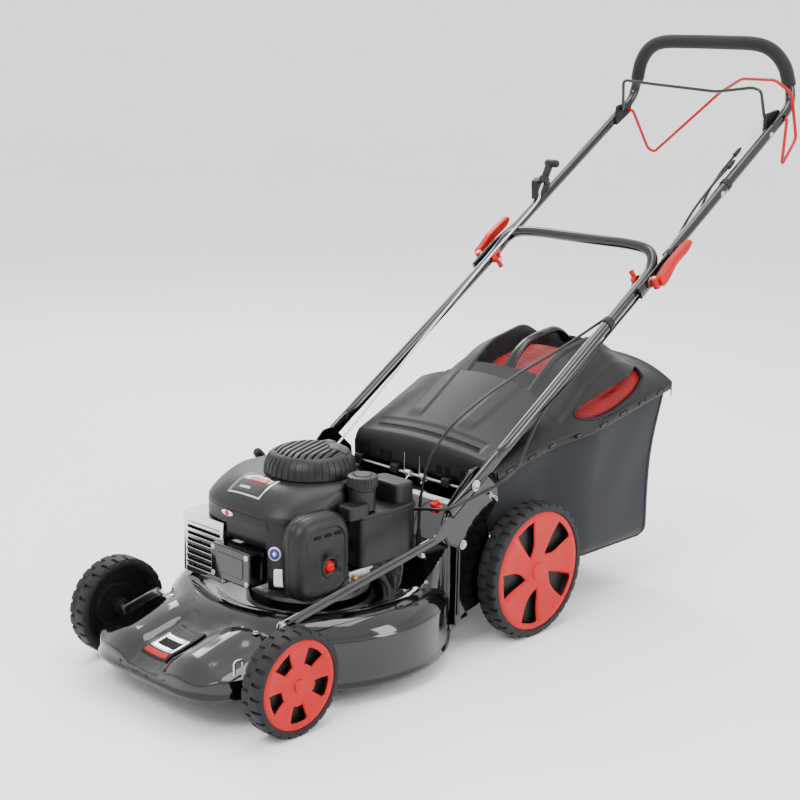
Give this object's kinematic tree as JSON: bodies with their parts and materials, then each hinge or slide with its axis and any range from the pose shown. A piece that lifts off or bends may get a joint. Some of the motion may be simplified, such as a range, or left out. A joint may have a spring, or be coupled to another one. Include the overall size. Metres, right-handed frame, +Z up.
{
  "type": "push lawn mower",
  "caption": "Petrol push mower: round pressed deck on four wheels, upright-shaft engine, folding two-part handle with bails, and a rear grass bag with a moulded lid.",
  "frame": {"origin": "on the ground, at the middle of the mower's overall footprint", "axes": "+Z up; -Y to the mower's front, +Y back to the handle; +X to its left, as seen by someone pushing it"},
  "size_m": [0.519, 1.6277, 1.1176],
  "materials": {
    "gloss_black": "gloss powder coat",
    "gloss_black_plastic": "polished",
    "matt_black": "fine moulded grain",
    "engine_grey": "satin moulded",
    "rubber": "dull",
    "red_plastic": "satin",
    "red_paint": "gloss",
    "zinc": "zinc plated",
    "aluminium": "die cast",
    "foam": "matt foam",
    "fabric": "woven polyester",
    "sheath": "smooth sheath",
    "rope": "braided"
  },
  "bodies": {
    "chassis": {"deck_shell": "gloss_black", "crankcase": "aluminium", "cylinder": "aluminium", "valve_cover": "gloss_black_plastic", "muffler": "zinc", "muffler_guard": "zinc", "blower_housing": "engine_grey", "recoil_cover": "engine_grey", "air_filter_cover": "engine_grey", "carburettor": "matt_black", "fuel_tank": "engine_grey", "handle_bracket_left": "matt_black", "handle_bracket_right": "matt_black", "height_quadrant": "zinc", "flap_rod": "zinc", "drive_belt": "rubber", "flap_spring_left": "zinc", "flap_spring_right": "zinc", "starter_rope": "rope", "stop_cable": "sheath", "drive_cable": "sheath"},
    "crank": {"crankshaft": "zinc", "flywheel_fan": "aluminium", "blade_adapter": "zinc", "mower_blade": "zinc", "blade_bolt": "zinc"},
    "height_lever": {"height_lever": "gloss_black"},
    "front_axle": {"front_axle": "zinc"},
    "rear_axle": {"rear_axle": "zinc", "gearbox": "aluminium"},
    "link_rod": {"link_rod": "gloss_black"},
    "lower_handle": {"lower_handle": "gloss_black"},
    "upper_handle": {"upper_handle": "gloss_black", "foam_grip": "foam", "rope_guide": "matt_black"},
    "wing_nut_left": {"wing_nut_left": "red_plastic"},
    "wing_nut_right": {"wing_nut_right": "red_plastic"},
    "quick_lever_left": {"quick_lever_left": "red_plastic"},
    "quick_lever_right": {"quick_lever_right": "red_plastic"},
    "stop_bail": {"stop_bail": "gloss_black"},
    "drive_bail": {"drive_bail": "red_paint"},
    "starter_grip": {"starter_grip": "matt_black"},
    "fuel_cap": {"fuel_cap": "engine_grey"},
    "primer_bulb": {"primer_bulb": "red_plastic"},
    "rear_flap": {"rear_flap": "matt_black"},
    "grass_bag": {"bag_lid": "matt_black", "bag_inlay": "red_plastic", "bag_fabric": "fabric"},
    "wheel_front_left": {"tyre_front_left": "rubber", "wheel_disc_front_left": "matt_black", "wheel_trim_front_left": "red_plastic"},
    "wheel_front_right": {"tyre_front_right": "rubber", "wheel_disc_front_right": "matt_black", "wheel_trim_front_right": "red_plastic"},
    "wheel_rear_left": {"tyre_rear_left": "rubber", "wheel_disc_rear_left": "matt_black", "wheel_trim_rear_left": "red_plastic"},
    "wheel_rear_right": {"tyre_rear_right": "rubber", "wheel_disc_rear_right": "matt_black", "wheel_trim_rear_right": "red_plastic"}
  },
  "joints": [
    {"name": "crank_turn", "type": "hinge", "parent": "chassis", "child": "crank", "pos_m": [0, -0.4318, 0], "axis": [0, 0, 1], "continuous": true},
    {"name": "height_lever_turn", "type": "hinge", "parent": "chassis", "child": "height_lever", "pos_m": [-0.205, -0.2708, 0.196], "axis": [1, 0, 0], "range_deg": [0, 35]},
    {"name": "front_axle_swing", "type": "hinge", "parent": "chassis", "child": "front_axle", "pos_m": [0, -0.6238, 0.105], "axis": [1, 0, 0], "range_deg": [0, 35]},
    {"name": "rear_axle_swing", "type": "hinge", "parent": "chassis", "child": "rear_axle", "pos_m": [0, -0.1358, 0.145], "axis": [1, 0, 0], "range_deg": [-35, 0], "deforming": ["drive_belt"]},
    {"name": "link_rod_turn", "type": "hinge", "parent": "front_axle", "child": "link_rod", "pos_m": [0.2075, -0.6848, 0.176], "axis": [1, 0, 0], "range_deg": [-35, 0]},
    {"name": "wheel_front_left_spin", "type": "hinge", "parent": "front_axle", "child": "wheel_front_left", "pos_m": [0.237, -0.6888, 0.09], "axis": [1, 0, 0], "continuous": true},
    {"name": "wheel_front_right_spin", "type": "hinge", "parent": "front_axle", "child": "wheel_front_right", "pos_m": [-0.237, -0.6888, 0.09], "axis": [1, 0, 0], "continuous": true},
    {"name": "wheel_rear_left_spin", "type": "hinge", "parent": "rear_axle", "child": "wheel_rear_left", "pos_m": [0.2215, -0.0708, 0.13], "axis": [1, 0, 0], "continuous": true},
    {"name": "wheel_rear_right_spin", "type": "hinge", "parent": "rear_axle", "child": "wheel_rear_right", "pos_m": [-0.2215, -0.0708, 0.13], "axis": [1, 0, 0], "continuous": true},
    {"name": "handle_tilt", "type": "hinge", "parent": "chassis", "child": "lower_handle", "pos_m": [0, -0.2153, 0.318], "axis": [1, 0, 0], "range_deg": [0, 20], "deforming": ["stop_cable", "drive_cable"]},
    {"name": "handle_fold", "type": "hinge", "parent": "lower_handle", "child": "upper_handle", "pos_m": [0, 0.2732, 0.64188], "axis": [1, 0, 0], "range_deg": [0, 150]},
    {"name": "wing_nut_left_turn", "type": "hinge", "parent": "lower_handle", "child": "wing_nut_left", "pos_m": [0.188, 0.2732, 0.64188], "axis": [1, 0, 0], "continuous": true},
    {"name": "wing_nut_right_turn", "type": "hinge", "parent": "lower_handle", "child": "wing_nut_right", "pos_m": [-0.188, 0.2732, 0.64188], "axis": [1, 0, 0], "continuous": true},
    {"name": "quick_lever_left_open", "type": "hinge", "parent": "upper_handle", "child": "quick_lever_left", "pos_m": [0.23, 0.2732, 0.64188], "axis": [0, 0.5526, -0.8335], "range_deg": [0, 110]},
    {"name": "quick_lever_right_open", "type": "hinge", "parent": "upper_handle", "child": "quick_lever_right", "pos_m": [-0.23, 0.2732, 0.64188], "axis": [0, -0.5526, 0.8335], "range_deg": [0, 110]},
    {"name": "stop_bail_squeeze", "type": "hinge", "parent": "upper_handle", "child": "stop_bail", "pos_m": [0, 0.7032, 0.94736], "axis": [1, 0, 0], "range_deg": [-35, 0], "stiffness_Nm_per_rad": 0.5, "springref_deg": 40.11},
    {"name": "drive_bail_squeeze", "type": "hinge", "parent": "upper_handle", "child": "drive_bail", "pos_m": [0, 0.7312, 0.94553], "axis": [1, 0, 0], "range_deg": [-18, 0], "stiffness_Nm_per_rad": 1, "springref_deg": 34.38},
    {"name": "starter_pull", "type": "slide", "parent": "upper_handle", "child": "starter_grip", "axis": [0, 0.4695, 0.8829], "range_m": [0, 0.3], "stiffness_N_per_m": 40, "springref_m": -0.25, "deforming": ["starter_rope"]},
    {"name": "fuel_cap_turn", "type": "hinge", "parent": "chassis", "child": "fuel_cap", "pos_m": [0.1215, -0.4208, 0.3404], "axis": [0, 0, 1], "range_deg": [0, 90]},
    {"name": "primer_press", "type": "slide", "parent": "chassis", "child": "primer_bulb", "axis": [-1, 0, 0], "range_m": [0, 0.006], "stiffness_N_per_m": 400, "springref_m": -0.004},
    {"name": "rear_flap_lift", "type": "hinge", "parent": "chassis", "child": "rear_flap", "pos_m": [0, -0.1618, 0.284], "axis": [1, 0, 0], "range_deg": [0, 24], "stiffness_Nm_per_rad": 1, "springref_deg": -22.92, "deforming": ["flap_spring_left", "flap_spring_right"]},
    {"name": "bag_unhook", "type": "slide", "parent": "chassis", "child": "grass_bag", "axis": [0, 0.9781, 0.2079], "range_m": [0, 0.25]}
  ],
  "couplings": [
    {"joint": "front_axle_swing", "follows": "height_lever_turn", "ratio": 1},
    {"joint": "rear_axle_swing", "follows": "height_lever_turn", "ratio": -1},
    {"joint": "link_rod_turn", "follows": "height_lever_turn", "ratio": -1}
  ]
}
